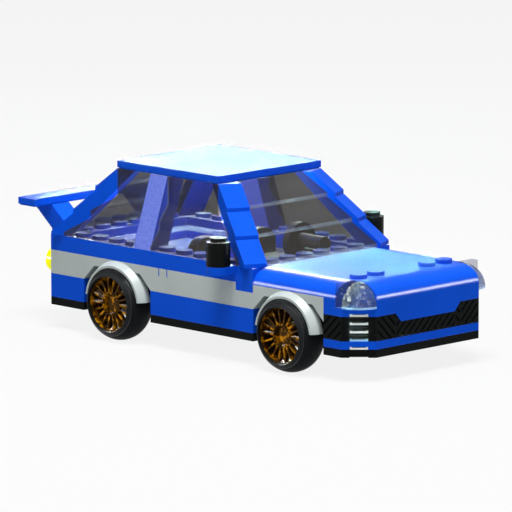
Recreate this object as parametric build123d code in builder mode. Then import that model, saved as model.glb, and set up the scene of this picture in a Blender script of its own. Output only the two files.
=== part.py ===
"""Brick-built toy sports car: interlocking plastic bricks on four free-running wheels.

Frame: X forward, Y to the car's left, Z up, in millimetres. The origin lies on the ground under the
middle of the car's box. Places along the car are counted in studs from its rear face, heights in
plates from the underside of the base plate.
"""

import os
from math import cos, radians, sin

from build123d import *

os.makedirs("parts", exist_ok=True)

# Brick grid
PITCH = 8.0  # from stud to stud, and the width of a one-stud piece
BRICK = 8.0  # height of a brick, which is three plates
STUD_R = 2.8
STUD_H = 1.35
LIP = 1.3  # upright foot below each slope brick's face
TILE_GROOVE = 0.4  # rebate round the foot of a smooth tile
FIT = 0.05  # play between two pieces that push together

# Counts of studs along and across the car
TAIL_STUDS = 2
ARCH_STUDS = 2  # from an axle to either end of its mudguard
SILL_STUDS = 6
NOSE_STUDS = 2
WIDTH_STUDS = 8
STOREYS = 3  # slope bricks in a pillar or a screen
POST_STUD = 5  # the door post's place
WING_STUDS = 2  # how far the wing stands out behind the tail

# Levels, in plates
BASE_TOP = 1
NOSE_TOP = 2
SILL_TOP = 4
GRILLE_TOP = 5
LAMP_SEAT = 6
BAND_TOP = 7
BELT_TOP = 9

# Wheels and axles
TYRE_R = 12.5
TYRE_WALL = 3.1  # height of the rubber over the rim
TYRE_WIDTH = 11.6
TREAD_HALF = 3.9  # half width of the tread
TREAD_DROP = 1.1  # fall of the tread from its middle to its edges
TYRE_INSET = 1.0  # from the inner wall of the wheel well to the tyre
RIM_WALL = 0.9
RIM_RECESS = 1.1  # from the tyre's outer side in to the rim's face
HUB_R = 4.2
HUB_DISH = 0.6  # how far the hub's face and the spokes' feet lie behind the rim's face
HUB_HOLLOW = 3.3  # radius of the hollow in the hub's face
HUB_DEPTH = 0.9
HUB_FLOOR = 0.8  # wall between the hollow and the pin
SPOKES = 18
SPOKE_WIDTH = 0.6
SPOKE_DEPTH = 1.8
PIN_R = 1.6
WHEEL_PLAY = 0.4  # along the axle, between hub and axle brick

# Mudguards
ARCH_GAP = 0.5  # between tyre tread and mudguard
ARCH_CROWN = 1.22  # thickness over the top of the tyre
FLARE_REACH = 2.4  # how far the lip stands out from the body side
FLARE_SEAT = 2.0  # how far the flare's root goes in behind the body side
FLARE_ROOT = 1.1
FLARE_LIP = 0.8
FLARE_END = 1.8  # height of the flare's ends above the axle
CUT_RISE = 5.0  # corner cuts beside the flare

# Nose
DIP_TOP = 15.2  # half width of the dip in the grille, at its top
DIP_FOOT = 12.6
DIP_DEPTH = 2.9
RIB_PITCH = 3.0
RIB_GROOVE = 0.7
RIB_DEPTH = 0.5
NOTCH_WIDTH = 6.0  # slot at the foot of each plate on the cut corners
NOTCH_HEIGHT = 0.9
NOTCH_DEPTH = 1.4

# Cabin
PILLAR_ANGLE = 24.3  # degrees that the corner pillars are turned out from the car's length
PILLAR_DEPTH = 7.0  # measured along the pillar's run
PANE = 0.6
SCREEN_DEPTH = 3.0  # thickness of the screens' slope bricks, measured along the car
HANDLE_LINE = 0.45  # width of the two blue strips that suggest a door handle
HANDLE_GAP = 3.8
SEAT_HEIGHT = 16.0
SEAT_WIDTH = 14.0
SEAT_ROUND = 4.0
WHEEL_RADIUS = 6.6
WHEEL_DEPTH = 2.6
WHEEL_WALL = 0.9
COLUMN_R = 3.0
COLUMN_RISE = 1.0  # column's axis above the belt
COLUMN_LENGTH = 10.6
COLUMN_GAP = 2.4  # between dashboard and column

# Underside of the base
BASE_SKIN = 1.0
BASE_WALL = 1.5
TUBE_R = 3.25
TUBE_BORE = 2.4

PLATE = BRICK / 3
HALF_W = WIDTH_STUDS * PITCH / 2
INNER_W = HALF_W - PITCH  # inner face of the one-stud side walls
REAR_AXLE = TAIL_STUDS + ARCH_STUDS
COWL = REAR_AXLE + ARCH_STUDS + SILL_STUDS  # the bonnet starts here
FRONT_AXLE = COWL + ARCH_STUDS
NOSE = FRONT_AXLE + ARCH_STUDS
LENGTH = NOSE + NOSE_STUDS
ROOF_ENDS = {"front": COWL - STOREYS, "rear": STOREYS}
ROOF_SEAT = BELT_TOP + 3 * STOREYS
WING_SEAT = BELT_TOP + 3
REAR = -(LENGTH - WING_STUDS) * PITCH / 2
ARCH_R = TYRE_R + ARCH_GAP
RIM_R = TYRE_R - TYRE_WALL
TYRE_IN = INNER_W + TYRE_INSET
TYRE_MIDDLE = TYRE_IN + TYRE_WIDTH / 2
RIM_FACE = TYRE_IN + TYRE_WIDTH - RIM_RECESS
PIN_END = RIM_FACE - HUB_DISH - HUB_DEPTH - HUB_FLOOR
AXLE_RISE = BAND_TOP * PLATE - ARCH_CROWN - ARCH_R  # axle above the base's underside
RIDE = TYRE_R - AXLE_RISE
AXLES = {"front": FRONT_AXLE, "rear": REAR_AXLE}
SIDES = {"right": -1, "left": 1}
WAYS = {"front": 1, "rear": -1}


def along(places):
    return REAR + places * PITCH


def level(plates):
    return RIDE + plates * PLATE


def save(piece, name):
    piece.part.label = name
    export_step(piece.part, f"parts/{name}.step")


def block(x, y, z, mode=Mode.ADD):
    """A box between two places along the car, two widths across it and two levels."""
    x0, x1 = along(x[0]), along(x[1])
    y0, y1 = min(y), max(y)
    z0, z1 = level(z[0]), level(z[1])
    with Locations(((x0 + x1) / 2, (y0 + y1) / 2, (z0 + z1) / 2)):
        Box(x1 - x0, y1 - y0, z1 - z0, mode=mode)


def tile(x, y, z):
    """A smooth tile one plate high, with a shallow rebate round its foot."""
    block(x, y, (z, z + 1))
    with BuildSketch(Plane.XY.offset(level(z))) as rebate:
        with Locations((along(sum(x) / 2), sum(y) / 2)):
            length, width = (x[1] - x[0]) * PITCH, y[1] - y[0]
            Rectangle(length, width)
            Rectangle(length - 2 * TILE_GROOVE, width - 2 * TILE_GROOVE, mode=Mode.SUBTRACT)
    extrude(rebate.sketch, amount=TILE_GROOVE, mode=Mode.SUBTRACT)


def studs(spots, plates):
    """Studs on a top face, at (place along, y) spots."""
    with Locations(*[(along(x), y, level(plates) + STUD_H / 2) for x, y in spots]):
        Cylinder(STUD_R, STUD_H)


def stud_pockets(spots, plates):
    """Room in a piece's foot for the studs that it stands among."""
    with Locations(*[(along(x), y, level(plates)) for x, y in spots]):
        Cylinder(STUD_R + FIT, 2 * (STUD_H + FIT), mode=Mode.SUBTRACT)


def nose_slab(z):
    """A slab of the nose between two levels: corners cut at 45 degrees, a slot at each plate's foot."""
    x0, x1, x2 = along(NOSE), along(LENGTH - 1), along(LENGTH)
    with BuildSketch(Plane.XY.offset(level(z[0]))) as plan:
        with BuildLine():
            Polyline((x0, 0), (x0, HALF_W), (x1, HALF_W), (x2, INNER_W), (x2, 0))
            mirror(about=Plane.XZ)
        make_face()
    extrude(plan.sketch, amount=(z[1] - z[0]) * PLATE)
    for side in SIDES.values():
        facet = (along(LENGTH - 0.5), side * (HALF_W - PITCH / 2))
        feet = [Location((*facet, level(n)), (0, 0, side * 45)) for n in range(z[0], z[1])]
        with Locations(*feet):
            Box(2 * NOTCH_DEPTH, NOTCH_WIDTH, 2 * NOTCH_HEIGHT, mode=Mode.SUBTRACT)


def axle_line(axle):
    """The axis that a pair of wheels turns on."""
    return Axis((along(axle), 0, level(0) + AXLE_RISE), (0, 1, 0))


# Base plate: black, cut in at the wheels, hollow below with tubes between its walls
BAYS = [  # place from, place to, half width
    (0, TAIL_STUDS, HALF_W),
    (TAIL_STUDS, REAR_AXLE + ARCH_STUDS, INNER_W),
    (REAR_AXLE + ARCH_STUDS, COWL, HALF_W),
    (COWL, NOSE, INNER_W),
]
HOLLOW = BASE_TOP * PLATE - BASE_SKIN
with BuildPart() as base_plate:
    nose_slab((0, BASE_TOP))
    for start, end, half in BAYS:
        block((start, end), (-half, half), (0, BASE_TOP))
    for start, end, half in BAYS:
        with Locations((along((start + end) / 2), 0, level(0))):
            length, width = (end - start) * PITCH - 2 * BASE_WALL, 2 * (half - BASE_WALL)
            Box(length, width, 2 * HOLLOW, mode=Mode.SUBTRACT)
    with BuildSketch(Plane.XY.offset(level(0))):
        for axle in (REAR_AXLE, (REAR_AXLE + FRONT_AXLE) / 2, FRONT_AXLE):
            with Locations((along(axle), -2 * PITCH), (along(axle), 2 * PITCH)):
                Circle(TUBE_R)
                Circle(TUBE_BORE, mode=Mode.SUBTRACT)
    extrude(amount=HOLLOW)
save(base_plate, "base_plate")

# Axle bricks: one across the car over each pair of wheels, with a pin at each end
for name, axle in AXLES.items():
    with BuildPart() as axle_brick:
        block((axle - 1, axle + 1), (-INNER_W, INNER_W), (BASE_TOP, SILL_TOP))
        hub = axle_line(axle).position
        for side in SIDES.values():
            with BuildSketch(Plane(hub + (0, side * INNER_W, 0), z_dir=(0, side, 0))):
                Circle(PIN_R)
            extrude(amount=PIN_END - INNER_W)
    save(axle_brick, f"axle_{name}")

# Lower body: blue sill bricks between the wheels, blue tail brick, thin blue nose plate
for name, side in SIDES.items():
    with BuildPart() as sill:
        block((REAR_AXLE + ARCH_STUDS, COWL), (side * INNER_W, side * HALF_W), (BASE_TOP, SILL_TOP))
    save(sill, f"sill_{name}")

with BuildPart() as tail_lower:
    block((0, TAIL_STUDS), (-HALF_W, HALF_W), (BASE_TOP, SILL_TOP))
save(tail_lower, "tail_lower")

with BuildPart() as nose_plate:
    nose_slab((BASE_TOP, NOSE_TOP))
save(nose_plate, "nose_plate")


# Grille: black and ribbed, with a shallow dip across the front that the bumper's tongue fills
def dip(mode):
    with BuildSketch(Plane.YZ.offset(along(LENGTH - 1))) as outline:
        with BuildLine():
            Polyline(
                (0, level(GRILLE_TOP)),
                (DIP_TOP, level(GRILLE_TOP)),
                (DIP_FOOT, level(GRILLE_TOP) - DIP_DEPTH),
                (0, level(GRILLE_TOP) - DIP_DEPTH),
            )
            mirror(about=Plane.YZ)
        make_face()
    extrude(outline.sketch, amount=PITCH, mode=mode)


def rib_grooves(face, width, lean):
    """Grooves in an upright face about its middle, leaning by an angle from upright."""
    height = (GRILLE_TOP - NOSE_TOP) * PLATE
    count = int((width + height) / RIB_PITCH) + 1
    with BuildSketch(face) as grooves:
        with GridLocations(RIB_PITCH, 0, count, 1):
            Rectangle(RIB_GROOVE, 2 * height, rotation=lean)
        Rectangle(width - RIB_GROOVE, height - RIB_GROOVE, mode=Mode.INTERSECT)
    extrude(grooves.sketch, amount=-RIB_DEPTH, mode=Mode.SUBTRACT)


RIB_ZONES = [  # y from, y to, lean of the grooves seen from the front
    (-INNER_W, -DIP_TOP, 45),
    (-DIP_TOP, DIP_FOOT, -45),
    (DIP_FOOT, DIP_TOP, 45),
    (DIP_TOP, INNER_W, -45),
]
GRILLE_MIDDLE = level((NOSE_TOP + GRILLE_TOP) / 2)
with BuildPart() as grille:
    nose_slab((NOSE_TOP, GRILLE_TOP))
    for y0, y1, lean in RIB_ZONES:
        middle = (along(LENGTH), (y0 + y1) / 2, GRILLE_MIDDLE)
        rib_grooves(Plane(middle, x_dir=(0, 1, 0), z_dir=(1, 0, 0)), y1 - y0, lean)
    for side in SIDES.values():
        middle = (along((NOSE + LENGTH - 1) / 2), side * HALF_W, GRILLE_MIDDLE)
        cheek = Plane(middle, x_dir=(-side, 0, 0), z_dir=(0, side, 0))
        rib_grooves(cheek, (LENGTH - 1 - NOSE) * PITCH, side * 45)
        corner = (along(LENGTH - 0.5), side * (HALF_W - PITCH / 2))
        rows = [Location((*corner, level(n + 0.5)), (0, 0, side * 45)) for n in range(NOSE_TOP, GRILLE_TOP)]
        with Locations(*rows):
            Box(2 * RIB_DEPTH, PITCH, RIB_GROOVE, mode=Mode.SUBTRACT)
    dip(Mode.SUBTRACT)
save(grille, "grille")

# Bumper: its tongue fills the grille's dip, and its corners are left open for the headlamps
LAMP_BACK = LENGTH - 1 - PLATE / PITCH  # a lamp's foot is a plate on edge behind its dome
with BuildPart() as bumper:
    nose_slab((GRILLE_TOP, LAMP_SEAT))
    block((NOSE, LAMP_BACK), (-HALF_W, HALF_W), (LAMP_SEAT, BAND_TOP))
    block((LAMP_BACK, LENGTH), (-INNER_W, INNER_W), (LAMP_SEAT, BAND_TOP))
    dip(Mode.ADD)
save(bumper, "bumper")

# Grey band: side bricks with slots for the handle strips, and a brick across the tail
HANDLE = along(REAR_AXLE + ARCH_STUDS) + PITCH / 2
HANDLE_SPOTS = (HANDLE, HANDLE + HANDLE_GAP)


def handle_strips(side, play, mode):
    """The two upright strips of a door handle, let into the top plate of the grey band."""
    middle = level((LAMP_SEAT + BAND_TOP) / 2)
    with Locations(*[(x, side * (HALF_W - HANDLE_LINE / 2), middle) for x in HANDLE_SPOTS]):
        Box(HANDLE_LINE + 2 * play, HANDLE_LINE, PLATE, mode=mode)


for name, side in SIDES.items():
    with BuildPart() as band:
        block((REAR_AXLE + ARCH_STUDS, COWL), (side * INNER_W, side * HALF_W), (SILL_TOP, BAND_TOP))
        block((COWL - 1, COWL), (side * INNER_W, side * HALF_W), (LAMP_SEAT, BAND_TOP), Mode.SUBTRACT)
        handle_strips(side, 0, Mode.SUBTRACT)
    save(band, f"band_{name}")

with BuildPart() as tail_band:
    block((0, TAIL_STUDS), (-HALF_W, HALF_W), (SILL_TOP, BAND_TOP))
save(tail_band, "tail_band")

# Mudguards: a four-stud arch brick, cut away beside a round flare that wraps the tyre's shoulder
FLARE_EDGE = HALF_W + FLARE_REACH
LIP_R = ARCH_R - TREAD_DROP * (FLARE_EDGE - TYRE_MIDDLE) / TREAD_HALF  # the tread falls away here too
for end, axle in AXLES.items():
    for name, side in SIDES.items():
        line = axle_line(axle)
        hub = line.position
        with BuildPart() as mudguard:
            arch = (axle - ARCH_STUDS, axle + ARCH_STUDS)
            block(arch, (side * INNER_W, side * HALF_W), (SILL_TOP, BAND_TOP))
            for way in WAYS.values():
                corner = along(axle + way * ARCH_STUDS)
                with BuildSketch(Plane.XZ.offset(-side * HALF_W)):
                    with BuildLine():
                        Polyline(
                            (corner, level(SILL_TOP)),
                            (corner - way * CUT_RISE, level(SILL_TOP) + CUT_RISE),
                            (hub.X, level(SILL_TOP) + CUT_RISE),
                            (hub.X, level(SILL_TOP)),
                            close=True,
                        )
                    make_face()
                extrude(amount=side * PITCH, mode=Mode.SUBTRACT)
            with Locations(Location(hub, (90, 0, 0))):
                Cylinder(ARCH_R, 2 * HALF_W, mode=Mode.SUBTRACT)
            with BuildSketch(Plane.YZ.offset(hub.X)):
                with BuildLine():
                    Polyline(
                        (side * (HALF_W - FLARE_SEAT), hub.Z + ARCH_R),
                        (side * HALF_W, hub.Z + ARCH_R),
                        (side * FLARE_EDGE, hub.Z + LIP_R),
                        (side * FLARE_EDGE, hub.Z + LIP_R + FLARE_LIP),
                        (side * HALF_W, hub.Z + ARCH_R + FLARE_ROOT),
                        (side * (HALF_W - FLARE_SEAT), hub.Z + ARCH_R + FLARE_ROOT),
                        close=True,
                    )
                make_face()
            revolve(axis=line)
            with Locations(hub + (0, side * HALF_W, FLARE_END - 2 * TYRE_R)):
                Box(4 * TYRE_R, 2 * HALF_W, 4 * TYRE_R, mode=Mode.SUBTRACT)
        save(mudguard, f"mudguard_{end}_{name}")

# Belt: blue side rails with a row of studs, the tail shelf and the dashboard between them
ACROSS = [(n + 0.5) * PITCH for n in range(1 - WIDTH_STUDS // 2, WIDTH_STUDS // 2 - 1)]
RAIL_STUDS = [n + 0.5 for n in range(1, COWL - 1) if n != POST_STUD]
RAIL_SPOTS = [(x, side * (HALF_W - PITCH / 2)) for x in RAIL_STUDS for side in SIDES.values()]
SCREEN_STUDS = [(x, y) for x in (0.5, COWL - 0.5) for y in ACROSS]  # under the screens' feet
for name, side in SIDES.items():
    with BuildPart() as belt:
        block((0, COWL), (side * INNER_W, side * HALF_W), (BAND_TOP, BELT_TOP))
        block((COWL - 1, COWL), (side * INNER_W, side * HALF_W), (LAMP_SEAT, BAND_TOP))
        handle_strips(side, -FIT, Mode.ADD)
        studs([(x, side * (HALF_W - PITCH / 2)) for x in RAIL_STUDS], BELT_TOP)
    save(belt, f"belt_{name}")

with BuildPart() as tail_shelf:
    block((0, 1), (-INNER_W, INNER_W), (BAND_TOP, BELT_TOP))
    studs([spot for spot in SCREEN_STUDS if spot[0] < TAIL_STUDS], BELT_TOP)
save(tail_shelf, "tail_shelf")

with BuildPart() as dashboard:
    block((COWL - 1, COWL), (-INNER_W, INNER_W), (GRILLE_TOP, BELT_TOP))
    studs([spot for spot in SCREEN_STUDS if spot[0] > TAIL_STUDS], BELT_TOP)
save(dashboard, "dashboard")

# Bonnet: sides and front rolled over in a quarter curve one stud wide, corners left for the lamps
ROLL_H = (BELT_TOP - BAND_TOP) * PLATE
BONNET_STUDS = [(LENGTH - NOSE_STUDS + 0.5, y) for y in (*ACROSS[:2], *ACROSS[-2:])]
with BuildPart() as bonnet:
    with BuildSketch(Plane.YZ.offset(along(COWL))):
        with BuildLine():
            Line((0, level(BAND_TOP)), (HALF_W, level(BAND_TOP)))
            EllipticalCenterArc((INNER_W, level(BAND_TOP)), PITCH, ROLL_H, start_angle=0, arc_size=90)
            Line((INNER_W, level(BELT_TOP)), (0, level(BELT_TOP)))
            mirror(about=Plane.YZ)
        make_face()
    extrude(amount=(LENGTH - COWL) * PITCH)
    with BuildSketch(Plane.XZ):
        with BuildLine():
            Line((along(COWL), level(BAND_TOP)), (along(LENGTH), level(BAND_TOP)))
            roll = (along(LENGTH - 1), level(BAND_TOP))
            EllipticalCenterArc(roll, PITCH, ROLL_H, start_angle=0, arc_size=90)
            Line((along(LENGTH - 1), level(BELT_TOP)), (along(COWL), level(BELT_TOP)))
            Line((along(COWL), level(BELT_TOP)), (along(COWL), level(BAND_TOP)))
        make_face()
    extrude(amount=HALF_W, both=True, mode=Mode.INTERSECT)
    for side in SIDES.values():
        block((LAMP_BACK, LENGTH), (side * INNER_W, side * HALF_W), (BAND_TOP, BELT_TOP), Mode.SUBTRACT)
    studs(BONNET_STUDS, BELT_TOP)
save(bonnet, "bonnet")

# Headlamps: clear quarter domes on the nose's two cut corners, each with its foot let in behind it
LAMP_H = (BELT_TOP - LAMP_SEAT) * PLATE
for name, side in SIDES.items():
    with BuildPart() as headlamp:
        corner = Vector(along(LENGTH - 1), side * INNER_W, level(LAMP_SEAT))
        with BuildSketch(Plane(corner, x_dir=(1, 0, 0), z_dir=(0, -1, 0))):
            with BuildLine():
                Polyline((0, LAMP_H), (0, 0), (PITCH, 0))
                TangentArc((PITCH, 0), (0, LAMP_H), tangent=(0, 1))
            make_face()
        revolve(axis=Axis(corner, (0, 0, side)), revolution_arc=90)
        block((LAMP_BACK, LENGTH - 1), (side * INNER_W, side * HALF_W), (LAMP_SEAT, BELT_TOP))
    save(headlamp, f"headlamp_{name}")


# Corner pillars: stacks of three slope bricks, turned out about the roof's corners
def slope_profile(plane, storey, depth):
    """Side view of one slope brick: its face, the lip at its foot and its back, depth behind."""
    top = level(ROOF_SEAT) - storey * BRICK
    foot = top - BRICK
    run = storey * PITCH
    with BuildSketch(plane) as profile:
        with BuildLine():
            Polyline(
                (run - depth, top),
                (run, top),
                (run + PITCH, foot + LIP),
                (run + PITCH, foot),
                (run + PITCH - depth, foot),
                close=True,
            )
        make_face()
    return profile.sketch


def pillar_plane(end, side):
    """Upright plane on a pillar's outer side: X runs out from the roof's corner, Z into the cabin."""
    turn = radians(PILLAR_ANGLE)
    run = Vector(WAYS[end] * cos(turn), side * sin(turn), 0)
    return Plane((along(ROOF_ENDS[end]), side * INNER_W, 0), x_dir=run, z_dir=run.cross(Vector(0, 0, 1)))


def cabin_side(end, side):
    """1 where the pillar plane's normal points into the cabin, else -1."""
    return WAYS[end] * side


STOREY_NAMES = ["top", "middle", "low"]
for storey, storey_name in enumerate(STOREY_NAMES[:STOREYS]):
    with BuildPart() as pillars:
        for end in AXLES:
            for side in SIDES.values():
                profile = slope_profile(pillar_plane(end, side), storey, PILLAR_DEPTH)
                extrude(profile, amount=cabin_side(end, side) * PITCH)
        stud_pockets(RAIL_SPOTS, BELT_TOP)
    save(pillars, f"pillars_{storey_name}")

# Front and rear screens: smoked slope bricks between the pillars, one per storey
for end, way in WAYS.items():
    for storey, storey_name in enumerate(STOREY_NAMES[:STOREYS]):
        with BuildPart() as screen:
            middle = Plane((along(ROOF_ENDS[end]), 0, 0), x_dir=(way, 0, 0), z_dir=(0, -way, 0))
            extrude(slope_profile(middle, storey, SCREEN_DEPTH), amount=HALF_W, both=True)
            for side in SIDES.values():
                inner = pillar_plane(end, side).offset(cabin_side(end, side) * (PITCH + FIT))
                split(bisect_by=inner, keep=Keep.TOP if cabin_side(end, side) > 0 else Keep.BOTTOM)
            stud_pockets(SCREEN_STUDS, BELT_TOP)
        save(screen, f"screen_{end}_{storey_name}")

# Side windows: smoked panes that step out from the roof's edge to the belt's, storey by storey
WINDOW_STEP = PITCH / (STOREYS - 1)
pane = [(INNER_W, level(ROOF_SEAT))]  # outer face, from the top
for storey in range(1, STOREYS):
    top = level(ROOF_SEAT) - storey * BRICK
    pane.append((INNER_W + (storey - 1) * WINDOW_STEP, top - LIP))
    pane.append((INNER_W + storey * WINDOW_STEP, top - BRICK + LIP))
pane.append((HALF_W, level(BELT_TOP)))
pane += [(y - PANE, z) for y, z in reversed(pane)]
for name, side in SIDES.items():
    with BuildPart() as side_window:
        with BuildSketch(Plane.YZ.offset(along(0))):
            with BuildLine():
                Polyline(*[(side * y, z) for y, z in pane], close=True)
            make_face()
        extrude(amount=COWL * PITCH)
        for end in AXLES:
            outer = pillar_plane(end, side).offset(-cabin_side(end, side) * FIT)
            split(bisect_by=outer, keep=Keep.BOTTOM if cabin_side(end, side) > 0 else Keep.TOP)
        stud_pockets(RAIL_SPOTS, BELT_TOP)
        play = FIT / PITCH
        post_room = (POST_STUD - play, POST_STUD + 1 + play)
        block(post_room, (side * (INNER_W - PITCH), side * HALF_W), (BELT_TOP, ROOF_SEAT), Mode.SUBTRACT)
    save(side_window, f"side_window_{name}")

# Door posts: blue posts that lean in from the belt's edge to the roof's, between the panes
with BuildPart() as door_posts:
    for side in SIDES.values():
        with BuildSketch(Plane.YZ.offset(along(POST_STUD))):
            with BuildLine():
                Polyline(
                    (side * HALF_W, level(BELT_TOP)),
                    (side * INNER_W, level(ROOF_SEAT)),
                    (side * (INNER_W - PITCH), level(ROOF_SEAT)),
                    (side * (HALF_W - PITCH), level(BELT_TOP)),
                    close=True,
                )
            make_face()
        extrude(amount=PITCH)
save(door_posts, "door_posts")

# Roof: one smooth tile
with BuildPart() as roof:
    tile((ROOF_ENDS["rear"], ROOF_ENDS["front"]), (-INNER_W, INNER_W), ROOF_SEAT)
save(roof, "roof")

# Wing: smooth tile on two slanted struts, which stand on a plate that reaches out behind the tail
with BuildPart() as wing:
    tile((-WING_STUDS, 1 - WING_STUDS), (-HALF_W, HALF_W), WING_SEAT)
save(wing, "wing")

STRUT_IN = INNER_W - PITCH
with BuildPart() as wing_struts:
    for side in SIDES.values():
        with BuildSketch(Plane.XZ.offset(-side * STRUT_IN)):
            with BuildLine():
                Polyline(
                    (along(-WING_STUDS), level(WING_SEAT)),
                    (along(1 - WING_STUDS), level(WING_SEAT)),
                    (along(0), level(BELT_TOP) + LIP),
                    (along(0), level(BELT_TOP)),
                    (along(-1), level(BELT_TOP)),
                    (along(-WING_STUDS), level(WING_SEAT) - LIP),
                    close=True,
                )
            make_face()
        extrude(amount=-side * PITCH)
save(wing_struts, "wing_struts")

with BuildPart() as wing_brackets:
    block((-1, 0), (-INNER_W, INNER_W), (BELT_TOP - 1, BELT_TOP))
    studs([(-0.5, y) for y in ACROSS[1:-1]], BELT_TOP)
save(wing_brackets, "wing_brackets")

# Mirrors: black round bricks on round-ended blue brackets
MIRROR = COWL - 1.5
MIRROR_Y = HALF_W + PITCH / 2
with BuildPart() as mirror_brackets:
    for side in SIDES.values():
        block((MIRROR - 0.5, MIRROR + 0.5), (side * HALF_W, side * MIRROR_Y), (BELT_TOP - 1, BELT_TOP))
        with Locations((along(MIRROR), side * MIRROR_Y, level(BELT_TOP - 0.5))):
            Cylinder(PITCH / 2, PLATE)
save(mirror_brackets, "mirror_brackets")

with BuildPart() as mirrors:
    for side in SIDES.values():
        with Locations((along(MIRROR), side * MIRROR_Y, level(BELT_TOP) + BRICK / 2)):
            Cylinder(PITCH / 2, BRICK)
        studs([(MIRROR, side * MIRROR_Y)], BELT_TOP + 3)
save(mirrors, "mirrors")

# Tail lamps: clear yellow round plates on the grey band's ends
with BuildPart() as tail_lamps:
    for side in SIDES.values():
        middle = (along(0) - PLATE / 2, side * (HALF_W - PITCH / 2), level((SILL_TOP + BAND_TOP) / 2))
        with Locations(Location(middle, (0, 90, 0))):
            Cylinder(PITCH / 2, PLATE)
save(tail_lamps, "tail_lamps")

# Cabin: floor plate, two round-shouldered seats and the steering stand
FLOOR_TOP = SILL_TOP + 1
with BuildPart() as floor:
    block((TAIL_STUDS, COWL), (-INNER_W, INNER_W), (SILL_TOP, FLOOR_TOP))
save(floor, "floor")

SEAT_Y = INNER_W / 2
with BuildPart() as seats:
    for side in SIDES.values():
        foot = (along(POST_STUD + 1), side * SEAT_Y, level(FLOOR_TOP))
        with BuildSketch(Plane(foot, x_dir=(0, 1, 0), z_dir=(1, 0, 0))):
            RectangleRounded(SEAT_WIDTH, 2 * SEAT_HEIGHT, SEAT_ROUND)
            Rectangle(SEAT_WIDTH, 2 * SEAT_HEIGHT, align=(Align.CENTER, Align.MAX), mode=Mode.SUBTRACT)
        extrude(amount=PITCH)
        edges = (side * SEAT_Y - SEAT_WIDTH / 2, side * SEAT_Y + SEAT_WIDTH / 2)
        block((POST_STUD + 2, POST_STUD + 4), edges, (FLOOR_TOP, BAND_TOP))
save(seats, "seats")

with BuildPart() as steering:
    block((COWL - 2, COWL - 1), (SEAT_Y - PITCH / 2, SEAT_Y + PITCH / 2), (FLOOR_TOP, BELT_TOP))
    column_foot = Vector(along(COWL - 1) - COLUMN_GAP, SEAT_Y, level(BELT_TOP) + COLUMN_RISE)
    with BuildSketch(Plane(column_foot, x_dir=(0, 1, 0), z_dir=(-1, 0, 0))):
        Circle(COLUMN_R)
    extrude(amount=COLUMN_LENGTH)
    wheel_plane = Plane(column_foot - (COLUMN_LENGTH, 0, 0), x_dir=(0, 1, 0), z_dir=(-1, 0, 0))
    with BuildSketch(wheel_plane):
        Circle(WHEEL_RADIUS)
    extrude(amount=WHEEL_DEPTH)
    with BuildSketch(wheel_plane.offset(WHEEL_WALL)):
        Circle(WHEEL_RADIUS - WHEEL_WALL)
        Circle(COLUMN_R, mode=Mode.SUBTRACT)
    extrude(amount=WHEEL_DEPTH, mode=Mode.SUBTRACT)
save(steering, "steering")

# Wheels: a tyre and a many-spoked rim on each pin
half_tyre = [(TYRE_WIDTH / 2, RIM_R + FIT), (TREAD_HALF, TYRE_R - TREAD_DROP)]
tyre_section = half_tyre + [(0, TYRE_R)] + [(-across, radius) for across, radius in reversed(half_tyre)]
for end, axle in AXLES.items():
    for name, side in SIDES.items():
        line = axle_line(axle)
        hub = line.position
        with BuildPart() as tyre:
            with BuildSketch(Plane.YZ.offset(hub.X)):
                with BuildLine():
                    middle = side * TYRE_MIDDLE
                    ring = [(middle + across, hub.Z + radius) for across, radius in tyre_section]
                    Polyline(*ring, close=True)
                make_face()
            revolve(axis=line)
        save(tyre, f"tyre_{end}_{name}")

        face = Plane(hub + (0, side * RIM_FACE, 0), x_dir=(1, 0, 0), z_dir=(0, -side, 0))
        with BuildPart() as rim:
            with BuildSketch(face):
                Circle(RIM_R)
                Circle(RIM_R - RIM_WALL, mode=Mode.SUBTRACT)
            extrude(amount=RIM_FACE - TYRE_IN)
            with BuildSketch(face.offset(HUB_DISH)):
                Circle(HUB_R)
            extrude(amount=RIM_FACE - HUB_DISH - INNER_W - WHEEL_PLAY)
            with BuildSketch(face.offset(HUB_DISH)):
                reach = RIM_R - RIM_WALL / 2
                foot = HUB_R - RIM_WALL / 2
                with PolarLocations((foot + reach) / 2, SPOKES):
                    Rectangle(reach - foot, SPOKE_WIDTH)
            extrude(amount=SPOKE_DEPTH)
            with BuildSketch(face.offset(HUB_DISH)):
                Circle(HUB_HOLLOW)
            extrude(amount=HUB_DEPTH, mode=Mode.SUBTRACT)
            with BuildSketch(Plane(hub, x_dir=(1, 0, 0), z_dir=(0, side, 0))):
                Circle(PIN_R + FIT)
            extrude(amount=PIN_END + FIT, mode=Mode.SUBTRACT)
        save(rim, f"rim_{end}_{name}")
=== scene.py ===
"""Looks for the brick-built toy sports car: finishes for its bricks, and its seats, tyres and spoked rims."""

from math import asin, cos, pi, radians, sin

import bmesh
import bpy
from mathutils import Matrix, Vector


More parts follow.
